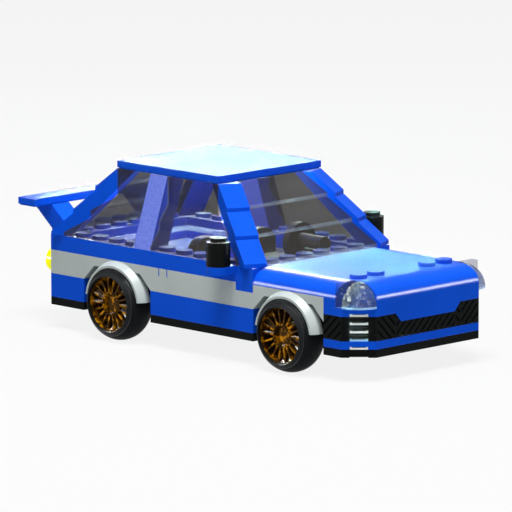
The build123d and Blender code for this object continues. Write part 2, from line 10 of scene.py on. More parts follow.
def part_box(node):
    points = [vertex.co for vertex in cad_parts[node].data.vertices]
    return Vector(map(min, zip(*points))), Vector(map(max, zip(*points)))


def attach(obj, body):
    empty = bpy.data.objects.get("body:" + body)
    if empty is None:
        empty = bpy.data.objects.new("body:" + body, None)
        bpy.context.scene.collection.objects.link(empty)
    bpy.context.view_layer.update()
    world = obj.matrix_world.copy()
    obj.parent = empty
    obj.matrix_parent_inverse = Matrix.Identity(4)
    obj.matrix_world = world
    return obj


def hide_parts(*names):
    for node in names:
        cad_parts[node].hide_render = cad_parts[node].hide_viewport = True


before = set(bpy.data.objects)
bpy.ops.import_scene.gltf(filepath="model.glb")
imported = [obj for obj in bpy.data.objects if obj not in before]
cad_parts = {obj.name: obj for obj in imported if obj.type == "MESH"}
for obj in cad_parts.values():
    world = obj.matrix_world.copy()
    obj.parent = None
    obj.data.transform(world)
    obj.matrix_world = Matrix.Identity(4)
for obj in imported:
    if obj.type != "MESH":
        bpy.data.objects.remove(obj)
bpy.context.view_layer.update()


# Base plate and axle bricks
# Black injection-moulded ABS: the plate that the other bricks press onto, and two bricks whose pins carry
# the wheels. It is dense, even and glossy, with the faint ripple of a polished steel mould.
MM = 0.001
DRIFT, RIPPLE = 20 * MM, 3 * MM  # widths of the colour's drift, and of the mould's ripple
RIPPLE_DEPTH = 0.02 * MM
EDGE_ROUND = 0.12 * MM  # how far a moulded edge is rounded
GLOSS_SPREAD = 0.04
SIDE_UP, TOP_UP = 0.4, 0.8  # upward part of the normal below which a face is a side, and above which a top
BLACK = ("#0E1111", "#0A0D0D")


def linear(shade):
    """Linear RGBA of an sRGB hex value."""
    parts = [int(shade[i : i + 2], 16) / 255 for i in (1, 3, 5)]
    return [c / 12.92 if c <= 0.04045 else ((c + 0.055) / 1.055) ** 2.4 for c in parts] + [1.0]


def add(material, kind, settings=None, **links):
    """Adds a node with its settings. A link is a socket, or a plain value for that input."""
    node = material.node_tree.nodes.new(kind)
    for name, value in (settings or {}).items():
        setattr(node, name, value)
    for name, value in links.items():
        socket = node.inputs[int(name[1:])] if name[1:].isdigit() else node.inputs[name.replace("_", " ")]
        if isinstance(value, bpy.types.NodeSocket):
            material.node_tree.links.new(value, socket)
        else:
            socket.default_value = value
    return node


def new_material(name):
    material = bpy.data.materials.new(name)
    material.use_nodes = True
    material.node_tree.nodes.clear()
    return material


def dress(material, *names):
    """Gives CAD nodes, by the starts of their names, one material."""
    for name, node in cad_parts.items():
        if name.startswith(names):
            node.data.materials.clear()
            node.data.materials.append(material)


def moulded_abs(name, shade, deep, gloss=0.2, ior=1.15, top_ior=1.16):
    """Two close shades that drift, with gloss and ripple that vary. The IOR is below ABS's real 1.54 on
    sides, because they show hardly any of the white floor; faces that point up may have more."""
    material = new_material(name)
    coords = add(material, "ShaderNodeTexCoord")
    place = coords.outputs["Object"]
    drift = add(material, "ShaderNodeTexNoise", Vector=place, Scale=1 / DRIFT, Detail=2.0)
    ramp = add(material, "ShaderNodeValToRGB", Fac=drift.outputs["Fac"])
    ramp.color_ramp.elements[0].position = 0.35
    ramp.color_ramp.elements[0].color = linear(deep)
    ramp.color_ramp.elements[1].position = 0.65
    ramp.color_ramp.elements[1].color = linear(shade)
    ripple = add(material, "ShaderNodeTexNoise", Vector=place, Scale=1 / RIPPLE, Detail=3.0)
    rough = add(
        material, "ShaderNodeMapRange", Value=ripple.outputs["Fac"],
        _3=gloss - GLOSS_SPREAD, _4=gloss + GLOSS_SPREAD,
    )
    edges = add(material, "ShaderNodeBevel", {"samples": 4}, Radius=EDGE_ROUND)
    bump = add(
        material, "ShaderNodeBump", Height=ripple.outputs["Fac"], Normal=edges.outputs[0],
        Strength=0.15, Distance=RIPPLE_DEPTH,
    )
    index = ior
    if top_ior != ior:
        facing = add(material, "ShaderNodeSeparateXYZ", Vector=coords.outputs["Normal"])
        index = add(
            material, "ShaderNodeMapRange", Value=facing.outputs["Z"],
            _1=SIDE_UP, _2=TOP_UP, _3=ior, _4=top_ior,
        ).outputs["Result"]
    plastic = add(
        material, "ShaderNodeBsdfPrincipled", Base_Color=ramp.outputs["Color"],
        Roughness=rough.outputs["Result"], Normal=bump.outputs["Normal"], IOR=index,
    )
    add(material, "ShaderNodeOutputMaterial", Surface=plastic.outputs[0])
    return material


dress(moulded_abs("black_abs", *BLACK, ior=1.1, top_ior=1.1), "base_plate", "axle_")

# Sills, tail brick, nose plate, bumper and cabin floor
# Bright blue ABS bricks and plates, moulded as the black ones are, and pressed onto the base plate and onto
# each other. Their sides stay a plain, even blue.
BLUE = ("#0C4ECE", "#0B4AC6")
blue_abs = moulded_abs("blue_abs", *BLUE, ior=1.06)
dress(blue_abs, "sill_", "tail_lower", "nose_plate", "bumper", "floor")

# Grille
# A black ABS brick with moulded ribs, pressed in between the nose plate and the bumper. The ribs' tops catch
# a little more light than the rest.
dress(moulded_abs("grille_abs", *BLACK, ior=1.1, top_ior=1.2), "grille")

# Grey band and mudguards
# Light grey ABS bricks, pressed onto the sills and the tail brick as a stripe round the car, and mudguards
# with flared arches over the wheels. The flares' tops shine.
grey_abs = moulded_abs("grey_abs", "#AEB7B5", "#A7B0AE", gloss=0.22, top_ior=1.4)
dress(grey_abs, "band_", "tail_band", "mudguard_")

# Slot strips (painted highlights)
# Pale ABS strips as a painted highlight, standing in for the light that the tops of the plates below catch in
# the slots of the nose's cut corners. Each is a flat bar with raised ends, pressed into its slot.
STUD_STEP = 8 * MM
PLATE = STUD_STEP / 3
SLOT_HALF, SLOT_RISE, BAR_RISE, END_WIDTH = 2.95 * MM, 0.88 * MM, 0.55 * MM, 0.7 * MM
SET_BACK, BAR_DEPTH = 0.12 * MM, 1.2 * MM
CUT_MIDDLE = 4 * MM  # from the nose's square corner to the middle of its cut, along each side
SHARP_ANGLE = radians(35)
MERGE_WITHIN = 0.001 * MM


def piece_from(bm, name, material, body, slot, *replaced):
    """Finishes a mesh: outward normals, smooth shading between sharp edges, its material and its ride."""
    bmesh.ops.remove_doubles(bm, verts=bm.verts, dist=MERGE_WITHIN)
    bmesh.ops.recalc_face_normals(bm, faces=bm.faces)
    for edge in bm.edges:
        if edge.calc_face_angle(pi) > SHARP_ANGLE:
            edge.smooth = False
    mesh = bpy.data.meshes.new(name)
    bm.to_mesh(mesh)
    bm.free()
    mesh.shade_smooth()
    mesh.materials.append(material)
    piece = bpy.data.objects.new(name, mesh)
    bpy.context.scene.collection.objects.link(piece)
    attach(piece, body)
    if replaced:
        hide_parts(*replaced)


# Painted highlight: white and pale blue strips where the floors of the slots would catch the light.
highlight_white_abs = moulded_abs("highlight_white_abs", "#FFFFFF", "#F4F2EC")
highlight_pale_blue_abs = moulded_abs("highlight_pale_blue_abs", "#A9DAFF", "#9FD0FA")
base_low, base_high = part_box("base_plate")
for name, material, slot, plates in (
    ("white_highlight_strips", highlight_white_abs, "grey_plastic", (1, 3, 4, 5)),
    ("blue_highlight_strips", highlight_pale_blue_abs, "blue_plastic", (2,)),
):
    bm = bmesh.new()
    for side in (-1, 1):
        for n in plates:
            outline = [
                (-SLOT_HALF, 0), (SLOT_HALF, 0), (SLOT_HALF, SLOT_RISE), (SLOT_HALF - END_WIDTH, SLOT_RISE),
                (SLOT_HALF - END_WIDTH, BAR_RISE), (END_WIDTH - SLOT_HALF, BAR_RISE),
                (END_WIDTH - SLOT_HALF, SLOT_RISE), (-SLOT_HALF, SLOT_RISE),
            ]
            front = bm.faces.new([bm.verts.new((-SET_BACK, y, z)) for y, z in outline])
            deep = bmesh.ops.extrude_face_region(bm, geom=[front], use_keep_orig=True)["geom"]
            back = [v for v in deep if isinstance(v, bmesh.types.BMVert)]
            bmesh.ops.translate(bm, vec=(-BAR_DEPTH, 0, 0), verts=back)
            made = back + list(front.verts)
            bmesh.ops.rotate(bm, verts=made, matrix=Matrix.Rotation(side * pi / 4, 3, "Z"))
            cut_x, cut_y = base_high.x - CUT_MIDDLE, side * (base_high.y - CUT_MIDDLE)
            bmesh.ops.translate(bm, vec=(cut_x, cut_y, base_low.z + n * PLATE), verts=made)
    piece_from(bm, name, material, "body", slot)

# Wheel boxes, bench and deck
# Blue ABS bricks pressed onto the cabin floor beside the rear wheels, a lower bench between them and a deck
# behind, on the tail band. Their tops are smooth and polished, and their blue is painted paler than the
# body's, as painted light, so that they show bright behind the glass.
BOX_LENGTH, BENCH_LENGTH = 4 * STUD_STEP, 2 * STUD_STEP
BOX_RISE, BENCH_RISE = 3 * PLATE, 2 * PLATE
WALL_GAP, DECK_GAP, BENCH_GAP = 0.02 * MM, 0.05 * MM, 0.1 * MM


def round_edges(bm, edges, by, segments):
    """Rounds edges, and keeps the faces beside them shaded flat."""
    rounded = bmesh.ops.bevel(
        bm, geom=edges, affect="EDGES", offset=by, segments=segments, profile=0.5, material=-1
    )["faces"]
    for face in rounded:
        for edge in face.edges:
            edge.smooth = all(f in rounded for f in edge.link_faces)


def box_between(bm, low, high, round_by):
    """A block between two corners, with its edges rounded."""
    made = bmesh.ops.create_cube(bm, size=1)["verts"]
    bmesh.ops.scale(bm, vec=high - low, verts=made)
    bmesh.ops.translate(bm, vec=(low + high) / 2, verts=made)
    round_edges(bm, list({e for v in made for e in v.link_edges}), round_by, 3)


# Painted light: a blue paler than the body's, so that the tops show bright behind the glass.
bench_painted_light_abs = moulded_abs("bench_painted_light_abs", "#3A63E6", "#345CDC", gloss=0.22, top_ior=2.2)
inner_wall, floor_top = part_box("floor")[1].yz
tail_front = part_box("tail_band")[1].x
bm = bmesh.new()
for side in (-1, 1):
    right, left = sorted((side * (inner_wall - STUD_STEP), side * (inner_wall - WALL_GAP)))
    low = Vector((tail_front, right, floor_top))
    high = Vector((tail_front + BOX_LENGTH, left, floor_top + BOX_RISE))
    box_between(bm, low, high, EDGE_ROUND)
bench_half = inner_wall - STUD_STEP - BENCH_GAP
low = Vector((tail_front, -bench_half, floor_top))
high = Vector((tail_front + BENCH_LENGTH, bench_half, floor_top + BENCH_RISE))
box_between(bm, low, high, EDGE_ROUND)
deck_half = inner_wall - DECK_GAP
low = Vector((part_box("tail_shelf")[1].x + DECK_GAP, -deck_half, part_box("tail_band")[1].z))
high = Vector((tail_front, deck_half, floor_top + BOX_RISE))
box_between(bm, low, high, EDGE_ROUND)
piece_from(bm, "wheel_boxes", bench_painted_light_abs, "body", "blue_plastic")

# Seats and steering
# Dark grey moulded ABS, less polished than the bricks: seats with thin arched backs and flat cushions, and
# a steering wheel on its stand, all pressed onto the floor's studs.
dark_abs = moulded_abs("dark_grey_abs", "#3A3835", "#33312E", gloss=0.3, top_ior=1.6)
dress(dark_abs, "steering")
SEAT_HALF, SEAT_RISE, BACK_THICK = 7 * MM, 14 * MM, 4 * MM
ARCH_ROUND, ARCH_STEPS = 5.5 * MM, 10
CUSHION_RISE = 2 * PLATE
CUSHION_ROUND, BACK_ROUND = 0.5 * MM, 0.25 * MM
seat_low, seat_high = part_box("seats")
back_face = seat_low.x + STUD_STEP
bm = bmesh.new()
for middle in (seat_low.y + SEAT_HALF, seat_high.y - SEAT_HALF):
    low = Vector((back_face, middle - SEAT_HALF, seat_low.z))
    high = Vector((seat_high.x, middle + SEAT_HALF, seat_low.z + CUSHION_RISE))
    box_between(bm, low, high, CUSHION_ROUND)
    outline = [(-SEAT_HALF, 0), (SEAT_HALF, 0), (SEAT_HALF, SEAT_RISE), (-SEAT_HALF, SEAT_RISE)]
    back = bm.faces.new([bm.verts.new((back_face, middle + y, seat_low.z + z)) for y, z in outline])
    tops = [v for v in back.verts if v.co.z > seat_low.z + SEAT_RISE / 2]
    bmesh.ops.bevel(
        bm, geom=tops, affect="VERTICES", offset=ARCH_ROUND, segments=ARCH_STEPS, profile=0.5, material=-1
    )
    arched = [
        f for f in bm.faces
        if len(f.verts) > ARCH_STEPS and abs(f.calc_center_median().y - middle) < SEAT_HALF
    ]
    rear = bmesh.ops.extrude_face_region(bm, geom=arched, use_keep_orig=True)["geom"]
    rear_verts = [v for v in rear if isinstance(v, bmesh.types.BMVert)]
    bmesh.ops.translate(bm, vec=(-BACK_THICK, 0, 0), verts=rear_verts)
    caps = arched + [f for f in rear if isinstance(f, bmesh.types.BMFace) and len(f.verts) > ARCH_STEPS]
    round_edges(bm, list({e for f in caps for e in f.edges}), BACK_ROUND, 2)
piece_from(bm, "arched_seats", dark_abs, "body", "dark_grey_plastic", "seats")

# Belt rails, tail shelf and dashboard
# Blue ABS plates with studs, pressed onto the grey band round the cabin. Their tops are polished, so they
# show pale behind the glass.
polished_blue = moulded_abs("polished_blue_abs", *BLUE, gloss=0.22, ior=1.06, top_ior=2.2)
dress(polished_blue, "belt_", "tail_shelf", "dashboard")

# Mirrors
# Round black ABS bricks with a glossy top and stud, pressed onto round-ended blue plates that stick out at
# the belt.
dress(blue_abs, "mirror_brackets")
dress(moulded_abs("glossy_black_abs", *BLACK, ior=1.12, top_ior=2.2), "mirrors")

# Bonnet
# One blue ABS piece with rolled sides and front, moulded with its studs and pressed onto the bricks of the
# nose. Its smooth top takes a pale sheen.
dress(moulded_abs("bonnet_abs", *BLUE), "bonnet")


# Headlamps
# Quarter domes of clear polycarbonate on thin foot plates, moulded in one and pressed in at the nose's cut
# corners. The dome's facets are bumped and painted navy, grey and white at random, as painted reflections,
# and its lower edge gets a pale blue painted highlight.
def clear_polycarbonate():
    """Facets painted navy, grey and white at random, as painted reflections, and a pale blue painted
    highlight along the dome's lower edge. The foot behind the dome shows the blue under it.
    """
    facet, facet_depth = 1.2 * MM, 0.6 * MM
    front_starts, front_full, front_share = 6 * MM, 2 * MM, 0.75
    foot_edge, foot_fade, dome_edge = 0.5 * MM, 0.3 * MM, 0.1 * MM
    foot_cover, dome_cover = 0.3, 0.62
    low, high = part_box("headlamp_right")
    dome_back = high.x - (high.y - low.y)
    material = new_material("clear_polycarbonate")
    place = add(material, "ShaderNodeTexCoord").outputs["Object"]
    axes = add(material, "ShaderNodeSeparateXYZ", Vector=place)
    # Painted reflections: each facet gets a random shade between navy and white.
    facets = add(material, "ShaderNodeTexVoronoi", Vector=place, Scale=1 / facet)
    tone = add(material, "ShaderNodeSeparateColor", Color=facets.outputs["Color"])
    grey = add(material, "ShaderNodeValToRGB", Fac=tone.outputs["Red"])
    grey.color_ramp.elements[0].color = linear("#14306A")
    grey.color_ramp.elements[1].position = 0.98
    grey.color_ramp.elements[1].color = linear("#D2DCDC")
    grey.color_ramp.elements.new(0.3).color = linear("#4F5E66")
    grey.color_ramp.elements.new(0.8).color = linear("#6E7D80")
    front = add(
        material, "ShaderNodeMapRange", {"interpolation_type": "SMOOTHSTEP"}, Value=axes.outputs["X"],
        _1=high.x - front_starts, _2=high.x - front_full, _3=0.0, _4=front_share,
    )
    tint = add(
        material, "ShaderNodeMix", {"data_type": "RGBA"}, _0=front.outputs["Result"],
        _6=grey.outputs["Color"], _7=linear("#3A55A0"),
    )
    # Painted highlight: pale blue along the dome's lower edge.
    foot = add(
        material, "ShaderNodeMapRange", Value=axes.outputs["Z"],
        _1=low.z + foot_edge, _2=low.z + foot_edge + foot_fade, _3=1.0, _4=0.0,
    )
    painted_foot_highlight = add(
        material, "ShaderNodeMix", {"data_type": "RGBA"}, _0=foot.outputs["Result"],
        _6=tint.outputs[2], _7=linear("#A9D6FF"),
    )
    dome = add(
        material, "ShaderNodeMapRange", Value=axes.outputs["X"], _1=dome_back, _2=dome_back + dome_edge
    )
    colour = add(
        material, "ShaderNodeMix", {"data_type": "RGBA"}, _0=dome.outputs["Result"],
        _6=linear("#14307C"), _7=painted_foot_highlight.outputs[2],
    )
    cover = add(
        material, "ShaderNodeMapRange", Value=dome.outputs["Result"], _3=foot_cover, _4=dome_cover
    )
    bump = add(
        material, "ShaderNodeBump", Height=facets.outputs["Distance"], Strength=0.8, Distance=facet_depth
    )
    rough = add(material, "ShaderNodeMapRange", Value=facets.outputs["Distance"], _3=0.08, _4=0.18)
    lens = add(
        material, "ShaderNodeBsdfPrincipled", Base_Color=colour.outputs[2], Roughness=rough.outputs["Result"],
        Normal=bump.outputs["Normal"], Alpha=cover.outputs["Result"], IOR=1.15,
    )
    add(material, "ShaderNodeOutputMaterial", Surface=lens.outputs[0])
    return material


dress(clear_polycarbonate(), "headlamp_")


# Tail lamps
# Round plates of yellow clear polycarbonate, pressed onto the tail. They get a painted glow, a little light
# of their own, so that they look brighter.
def yellow_polycarbonate():
    """Two yellows in clouds, with a little light of its own as a painted glow."""
    material = new_material("yellow_polycarbonate")
    place = add(material, "ShaderNodeTexCoord").outputs["Object"]
    cloud = add(material, "ShaderNodeTexNoise", Vector=place, Scale=1 / (4 * MM))
    ramp = add(material, "ShaderNodeValToRGB", Fac=cloud.outputs["Fac"])
    ramp.color_ramp.elements[0].color = linear("#F5EE00")
    ramp.color_ramp.elements[1].color = linear("#FFFF08")
    # Painted glow: the lens gives off a little light of its own.
    lens = add(
        material, "ShaderNodeBsdfPrincipled", Base_Color=ramp.outputs["Color"], Roughness=0.15, IOR=1.2,
        Emission_Color=ramp.outputs["Color"], Emission_Strength=0.3,
    )
    add(material, "ShaderNodeOutputMaterial", Surface=lens.outputs[0])
    return material


dress(yellow_polycarbonate(), "tail_lamps")


# Door posts
# Slope bricks of the same blue ABS, pressed onto the belt rails. Their leaning faces keep the spark-eroded
# grain of the mould. Their blue is painted paler, as painted light, and the faces that point forward are
# painted darker, as painted shade.
def grained_abs(name, shade, deep, edge):
    """Pits of 0.5 mm, drawn coarser than the real grain so that they show, in shades painted paler as painted
    light. The faces that point forward are painted darker, as painted shade.
    """
    pit, pit_depth = 0.5 * MM, 0.08 * MM
    material = new_material(name)
    coords = add(material, "ShaderNodeTexCoord")
    pits = add(material, "ShaderNodeTexNoise", Vector=coords.outputs["Object"], Scale=1 / pit, Detail=3.0)
    ramp = add(material, "ShaderNodeValToRGB", Fac=pits.outputs["Fac"])
    ramp.color_ramp.elements[0].position = 0.35
    ramp.color_ramp.elements[0].color = linear(deep)
    ramp.color_ramp.elements[1].position = 0.65
    ramp.color_ramp.elements[1].color = linear(shade)
    bump = add(material, "ShaderNodeBump", Height=pits.outputs["Fac"], Strength=0.4, Distance=pit_depth)
    facing = add(material, "ShaderNodeSeparateXYZ", Vector=coords.outputs["Normal"])
    # Painted shade: faces that point forward get the darker edge colour.
    painted_front_shade = add(material, "ShaderNodeMapRange", Value=facing.outputs["X"], _1=0.5, _2=0.8)
    colour = add(
        material, "ShaderNodeMix", {"data_type": "RGBA"}, _0=painted_front_shade.outputs["Result"],
        _6=ramp.outputs["Color"], _7=linear(edge),
    )
    plastic = add(
        material, "ShaderNodeBsdfPrincipled", Base_Color=colour.outputs[2], Roughness=0.55,
        Normal=bump.outputs["Normal"], IOR=1.15,
    )
    add(material, "ShaderNodeOutputMaterial", Surface=plastic.outputs[0])
    return material


# Painted light: a paler blue than the body's, with painted shade on the forward faces.
dress(grained_abs("grained_blue_painted_light_abs", "#6072CA", "#4A5EBA", "#22348C"), "door_posts")


# Screens and side windows
# Smoked polycarbonate, moulded as hollow slope bricks and stepped panes and pressed onto the belt's studs.
# Things behind it show darker and browner.
def smoked_polycarbonate():
    """Tinted evenly through, so it only dims what is behind it, and it hardly shades the cabin. The upright
    lips between the storeys of a screen, where they face forward, are painted paler, as a painted sheen."""
    seen_cover, shadow_cover = 0.52, 0.08
    material = new_material("smoked_polycarbonate")
    coords = add(material, "ShaderNodeTexCoord")
    haze = add(
        material, "ShaderNodeTexNoise", Vector=coords.outputs["Object"], Scale=1 / (15 * MM), Detail=2.0
    )
    ramp = add(material, "ShaderNodeValToRGB", Fac=haze.outputs["Fac"])
    ramp.color_ramp.elements[0].color = linear("#2B2A26")
    ramp.color_ramp.elements[1].color = linear("#34332F")
    rough = add(material, "ShaderNodeMapRange", Value=haze.outputs["Fac"], _3=0.1, _4=0.16)
    path = add(material, "ShaderNodeLightPath")
    cover = add(
        material, "ShaderNodeMapRange", Value=path.outputs["Is Shadow Ray"], _3=seen_cover, _4=shadow_cover
    )
    facing = add(material, "ShaderNodeSeparateXYZ", Vector=coords.outputs["Normal"])
    # Painted sheen: upright lips that face forward get a paler grey.
    painted_lip_sheen = add(material, "ShaderNodeMapRange", Value=facing.outputs["X"], _1=0.9, _2=0.97)
    colour = add(
        material, "ShaderNodeMix", {"data_type": "RGBA"}, _0=painted_lip_sheen.outputs["Result"],
        _6=ramp.outputs["Color"], _7=linear("#8C9290"),
    )
    sheet = add(
        material, "ShaderNodeBsdfPrincipled", Base_Color=colour.outputs[2], Roughness=rough.outputs["Result"],
        Alpha=cover.outputs["Result"], IOR=1.2,
    )
    add(material, "ShaderNodeOutputMaterial", Surface=sheet.outputs[0])
    return material


dress(smoked_polycarbonate(), "screen_", "side_window_")

# Pillars, roof and wing
# Blue ABS again: three slope bricks in each corner pillar, the smooth roof tile pressed onto them, and the
# wing tile on slanted struts and a bracket plate at the tail.
dress(blue_abs, "pillars_", "roof", "wing")


# Rims
# Moulded ABS with a bronze-gold lacquer: an open barrel with a thin lip, eighteen blade spokes and a
# dished hub that runs on the axle pin.
def gold_lacquer():
    """Dark bronze with random patches of bright gold, as painted glints, glossy as lacquer is."""
    material = new_material("gold_lacquer")
    place = add(material, "ShaderNodeTexCoord").outputs["Object"]
    # Painted glints: random patches of bright gold on the dark bronze.
    painted_glints = add(material, "ShaderNodeTexNoise", Vector=place, Scale=1 / (2.2 * MM), Detail=4.0)
    ramp = add(material, "ShaderNodeValToRGB", Fac=painted_glints.outputs["Fac"])
    ramp.color_ramp.elements[0].position = 0.5
    ramp.color_ramp.elements[0].color = linear("#382200")
    ramp.color_ramp.elements[1].position = 0.64
    ramp.color_ramp.elements[1].color = linear("#AA7000")
    rough = add(material, "ShaderNodeMapRange", Value=painted_glints.outputs["Fac"], _3=0.2, _4=0.35)
    lacquer = add(
        material, "ShaderNodeBsdfPrincipled", Base_Color=ramp.outputs["Color"],
        Roughness=rough.outputs["Result"], Metallic=0.35, IOR=1.1,
    )
    add(material, "ShaderNodeOutputMaterial", Surface=lacquer.outputs[0])
    return material


def turned(bm, section, axis_at, steps):
    """Turns a closed section of (across, radius) points about the axle, as a lathe does."""
    loop = [bm.verts.new(axis_at + Vector((0, across, radius))) for across, radius in section]
    edges = [bm.edges.new((loop[i - 1], loop[i])) for i in range(len(loop))]
    bmesh.ops.spin(
        bm, geom=loop + edges, cent=axis_at, axis=(0, 1, 0), angle=2 * pi, steps=steps, use_merge=True
    )


WHEELS = ("front_right", "front_left", "rear_right", "rear_left")
LIP, BARREL = 0.55 * MM, 0.9 * MM
LIP_EASE, LIP_OUTER_SLOPE, LIP_INNER_SLOPE = 0.15 * MM, 0.25 * MM, 0.3 * MM
HUB_R, HUB_HOLLOW, HUB_EYE = 4.2 * MM, 3.3 * MM, 0.2 * MM
HUB_DISH, HUB_DEPTH, HUB_SLOPE = 0.6 * MM, 1.1 * MM, 0.3 * MM
RIM_STEPS, HUB_STEPS = 72, 48
SPOKES = 18
SPOKE_WIDTH, SPOKE_DEPTH = 0.6 * MM, 2.2 * MM
SPOKE_TAPER = 0.6  # a spoke's depth at the barrel, as a share of that at the hub
lacquer = gold_lacquer()
for wheel in WHEELS:
    low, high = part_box(f"rim_{wheel}")
    hub = (low + high) / 2
    side = 1 if hub.y > 0 else -1
    face, foot = (high.y, low.y) if side > 0 else (low.y, high.y)
    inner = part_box(f"tyre_{wheel}")[0 if side > 0 else 1].y
    rim_r = (high.z - low.z) / 2
    centre = Vector((hub.x, 0, hub.z))
    barrel = [
        (face - side * LIP_OUTER_SLOPE, rim_r), (face, rim_r - LIP_EASE), (face, rim_r - LIP + LIP_EASE),
        (face - side * LIP_INNER_SLOPE, rim_r - LIP), (face - side * SPOKE_DEPTH, rim_r - BARREL),
        (inner, rim_r - BARREL), (inner, rim_r),
    ]
    top = face - side * HUB_DISH
    dish = top - side * HUB_DEPTH
    cup = [
        (top, HUB_R - HUB_SLOPE), (top, HUB_HOLLOW), (dish, HUB_HOLLOW - HUB_SLOPE), (dish, HUB_EYE),
        (foot, HUB_EYE), (foot, HUB_HOLLOW), (top - side * HUB_SLOPE, HUB_R),
    ]
    bm = bmesh.new()
    turned(bm, barrel, centre, RIM_STEPS)
    turned(bm, cup, centre, HUB_STEPS)
    reach = rim_r - BARREL / 2 - HUB_HOLLOW
    spoke_at = centre + Vector((0, top - side * SPOKE_DEPTH / 2, HUB_HOLLOW + reach / 2))
    for n in range(SPOKES):
        made = bmesh.ops.create_cube(bm, size=1)["verts"]
        bmesh.ops.scale(bm, vec=(SPOKE_WIDTH, SPOKE_DEPTH, reach), verts=made)
        for v in made:
            if v.co.z > 0:
                v.co.y = v.co.y * SPOKE_TAPER + side * (1 - SPOKE_TAPER) / 2 * SPOKE_DEPTH
        bmesh.ops.translate(bm, vec=spoke_at, verts=made)
        turn = Matrix.Rotation((n + 0.5) * 2 * pi / SPOKES, 3, "Y")
        bmesh.ops.rotate(bm, verts=made, cent=centre, matrix=turn)
    piece_from(bm, f"spoked_rim_{wheel}", lacquer, f"wheel_{wheel}", "gold_rim", f"rim_{wheel}")


# Tyres
# Black moulded rubber: smooth rounded sidewalls that stretch over the rim, and a crown with fine slanted
# tread blocks. The rubber is matte, with a slight blue-grey bloom.
def tyre_rubber():
    """Two near blacks in a grain of 0.8 mm, drawn coarser than the real one so that it shows."""
    grain_width, grain_depth = 0.8 * MM, 0.05 * MM
    material = new_material("tyre_rubber")
    place = add(material, "ShaderNodeTexCoord").outputs["Object"]
    grain = add(material, "ShaderNodeTexNoise", Vector=place, Scale=1 / grain_width, Detail=4.0)
    ramp = add(material, "ShaderNodeValToRGB", Fac=grain.outputs["Fac"])
    ramp.color_ramp.elements[0].color = linear("#131517")
    ramp.color_ramp.elements[1].color = linear("#1B1E20")
    bump = add(material, "ShaderNodeBump", Height=grain.outputs["Fac"], Strength=0.2, Distance=grain_depth)
    rubber = add(
        material, "ShaderNodeBsdfPrincipled", Base_Color=ramp.outputs["Color"], Roughness=0.5,
        Normal=bump.outputs["Normal"], IOR=1.2,
    )
    add(material, "ShaderNodeOutputMaterial", Surface=rubber.outputs[0])
    return material


ROUND, BEAD = 7.3 * MM, 0.35 * MM  # radius of the tyre's round section, and how far its beads tuck in
TREAD_DEPTH, TREAD_GAP, TREAD_HALF = 0.22 * MM, 0.12 * MM, 4.6 * MM
TREAD_STEPS, SECTION_STEPS = 96, 18
rubber = tyre_rubber()
for wheel in WHEELS:
    low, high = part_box(f"tyre_{wheel}")
    hub = (low + high) / 2
    radius, half = (high.z - low.z) / 2, (high.y - low.y) / 2
    rim_low, rim_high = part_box(f"rim_{wheel}")
    rim_r = (rim_high.z - rim_low.z) / 2
    crown = radius - TREAD_DEPTH
    bm = bmesh.new()
    spread = asin(half / ROUND)
    middle = hub + Vector((0, 0, crown - ROUND))
    start = bm.verts.new(middle + Vector((0, half, ROUND * cos(spread))))
    bmesh.ops.spin(bm, geom=[start], cent=middle, axis=(1, 0, 0), angle=2 * spread, steps=SECTION_STEPS)
    section = sorted(bm.verts, key=lambda v: v.co.y)
    feet = [bm.verts.new(hub + Vector((0, y, rim_r))) for y in (BEAD - half, half - BEAD)]
    bm.edges.new((section[0], feet[0]))
    bm.edges.new(feet)
    bm.edges.new((feet[1], section[-1]))
    bmesh.ops.spin(
        bm, geom=bm.verts[:] + bm.edges[:], cent=hub, axis=(0, 1, 0), angle=2 * pi, steps=TREAD_STEPS,
        use_merge=True,
    )
    bmesh.ops.remove_doubles(bm, verts=bm.verts, dist=MERGE_WITHIN)
    bmesh.ops.recalc_face_normals(bm, faces=bm.faces)
    blocks = []
    for f in bm.faces:
        out = f.calc_center_median() - hub
        if out.xz.length > rim_r + BEAD and abs(out.y) < TREAD_HALF:
            blocks.append(f)
    for v in bm.verts:
        slant = (v.co.y - hub.y) / radius
        v.co = hub + Matrix.Rotation(slant, 3, "Y") @ (v.co - hub)
    bmesh.ops.inset_individual(bm, faces=blocks, thickness=TREAD_GAP, depth=TREAD_DEPTH, use_even_offset=True)
    piece_from(bm, f"treaded_tyre_{wheel}", rubber, f"wheel_{wheel}", "tyre", f"tyre_{wheel}")


# Floor sheet
# A large sheet of plain white paper under a pale sky, as in a small studio. It is stage, not part of the
# car, and only keeps the car's soft shadow.
def white_floor():
    """Paper that the camera, gloss and glass see mostly as plain white, with a faint shadow left."""
    white_share = 0.85
    material = new_material("white_floor")
    path = add(material, "ShaderNodeLightPath")
    direct = add(
        material, "ShaderNodeMath", {"operation": "MAXIMUM"}, _0=path.outputs["Is Camera Ray"],
        _1=path.outputs["Is Transmission Ray"],
    )
    seen = add(
        material, "ShaderNodeMath", {"operation": "MAXIMUM"}, _0=direct.outputs[0],
        _1=path.outputs["Is Glossy Ray"],
    )
    share = add(material, "ShaderNodeMath", {"operation": "MULTIPLY"}, _0=seen.outputs[0], _1=white_share)
    paper = add(material, "ShaderNodeBsdfPrincipled", Base_Color=linear("#AAAAAA"), Roughness=0.9)
    white = add(material, "ShaderNodeEmission", Color=linear("#FFFFFF"), Strength=1.0)
    mix = add(material, "ShaderNodeMixShader", Fac=share.outputs[0], _1=paper.outputs[0], _2=white.outputs[0])
    add(material, "ShaderNodeOutputMaterial", Surface=mix.outputs[0])
    return material


